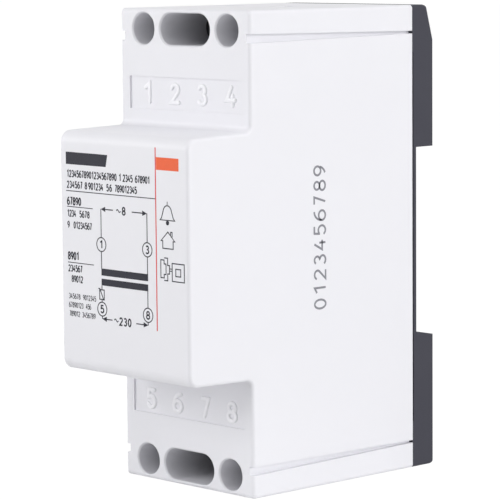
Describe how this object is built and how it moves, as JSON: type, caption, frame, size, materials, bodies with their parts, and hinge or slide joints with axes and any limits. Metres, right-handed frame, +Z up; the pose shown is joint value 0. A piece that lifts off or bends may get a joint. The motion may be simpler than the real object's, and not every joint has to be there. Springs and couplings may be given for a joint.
{
  "type": "doorbell transformer",
  "caption": "Rail-mounted bell transformer: stepped light grey front moulding with a tall nose and recessed screw shafts on a dark base with hooks.",
  "frame": {"origin": "centre of the seat on the mounting rail, on the rail's centre line", "axes": "+Z up along the height, +Y from the front towards the rail and the wall, +X to the right seen from the front"},
  "size_m": [0.0354, 0.0642, 0.09],
  "materials": {
    "housing_plastic": "fine satin texture, light grey",
    "base_plastic": "satin, dark grey",
    "latch_plastic": "satin, dark grey",
    "terminal_plastic": "matt, black",
    "former_plastic": "matt, natural white",
    "zinc_steel": "zinc plated",
    "tinned_brass": "tinned brass",
    "spring_steel": "bright drawn wire",
    "core_steel": "laminated sheet, varnished",
    "enamelled_wire": "enamelled copper, close layers",
    "winding_tape": "polyester tape, yellow",
    "lead_sleeve": "insulating sleeve, satin",
    "thermistor_coating": "dipped resin coating"
  },
  "bodies": {
    "housing": {"front_housing": "housing_plastic", "rear_base": "base_plastic", "latch_spring": "spring_steel", "upper_terminal_block": "terminal_plastic", "lower_terminal_block": "terminal_plastic", "busbar_1": "tinned_brass", "busbar_3": "tinned_brass", "busbar_5": "tinned_brass", "busbar_8": "tinned_brass", "core_e_stack": "core_steel", "core_i_stack": "core_steel", "core_strap": "zinc_steel", "coil_former": "former_plastic", "secondary_winding": "enamelled_wire", "primary_winding": "enamelled_wire", "secondary_tape": "winding_tape", "primary_tape": "winding_tape", "secondary_lead_1": "lead_sleeve", "secondary_lead_3": "lead_sleeve", "primary_lead_8": "lead_sleeve", "primary_lead_5": "lead_sleeve", "thermistor_lead": "lead_sleeve", "thermistor": "thermistor_coating"},
    "latch": {"rail_latch": "latch_plastic"},
    "screw_1": {"terminal_screw_1": "zinc_steel"},
    "clamp_1": {"clamp_cage_1": "zinc_steel"},
    "screw_3": {"terminal_screw_3": "zinc_steel"},
    "clamp_3": {"clamp_cage_3": "zinc_steel"},
    "screw_5": {"terminal_screw_5": "zinc_steel"},
    "clamp_5": {"clamp_cage_5": "zinc_steel"},
    "screw_8": {"terminal_screw_8": "zinc_steel"},
    "clamp_8": {"clamp_cage_8": "zinc_steel"}
  },
  "joints": [
    {"name": "latch_pull", "type": "slide", "parent": "housing", "child": "latch", "axis": [0, 0, -1], "range_m": [0, 0.003], "stiffness_N_per_m": 600, "springref_m": -0.003, "deforming": ["latch_spring"]},
    {"name": "screw_turn_1", "type": "hinge", "parent": "housing", "child": "screw_1", "pos_m": [-0.0115, -0.0305, 0.0412], "axis": [0, 1, 0], "range_deg": [0, 2304]},
    {"name": "clamp_rise_1", "type": "slide", "parent": "housing", "child": "clamp_1", "axis": [0, -1, 0], "range_m": [0, 0.0032]},
    {"name": "screw_turn_3", "type": "hinge", "parent": "housing", "child": "screw_3", "pos_m": [0.00383, -0.0305, 0.0412], "axis": [0, 1, 0], "range_deg": [0, 2304]},
    {"name": "clamp_rise_3", "type": "slide", "parent": "housing", "child": "clamp_3", "axis": [0, -1, 0], "range_m": [0, 0.0032]},
    {"name": "screw_turn_5", "type": "hinge", "parent": "housing", "child": "screw_5", "pos_m": [-0.0115, -0.0305, -0.0412], "axis": [0, 1, 0], "range_deg": [0, 2304]},
    {"name": "clamp_rise_5", "type": "slide", "parent": "housing", "child": "clamp_5", "axis": [0, -1, 0], "range_m": [0, 0.0032]},
    {"name": "screw_turn_8", "type": "hinge", "parent": "housing", "child": "screw_8", "pos_m": [0.0115, -0.0305, -0.0412], "axis": [0, 1, 0], "range_deg": [0, 2304]},
    {"name": "clamp_rise_8", "type": "slide", "parent": "housing", "child": "clamp_8", "axis": [0, -1, 0], "range_m": [0, 0.0032]}
  ],
  "couplings": [
    {"joint": "screw_turn_1", "follows": "clamp_rise_1", "rad_per_m": 12566},
    {"joint": "screw_turn_3", "follows": "clamp_rise_3", "rad_per_m": 12566},
    {"joint": "screw_turn_5", "follows": "clamp_rise_5", "rad_per_m": 12566},
    {"joint": "screw_turn_8", "follows": "clamp_rise_8", "rad_per_m": 12566}
  ]
}
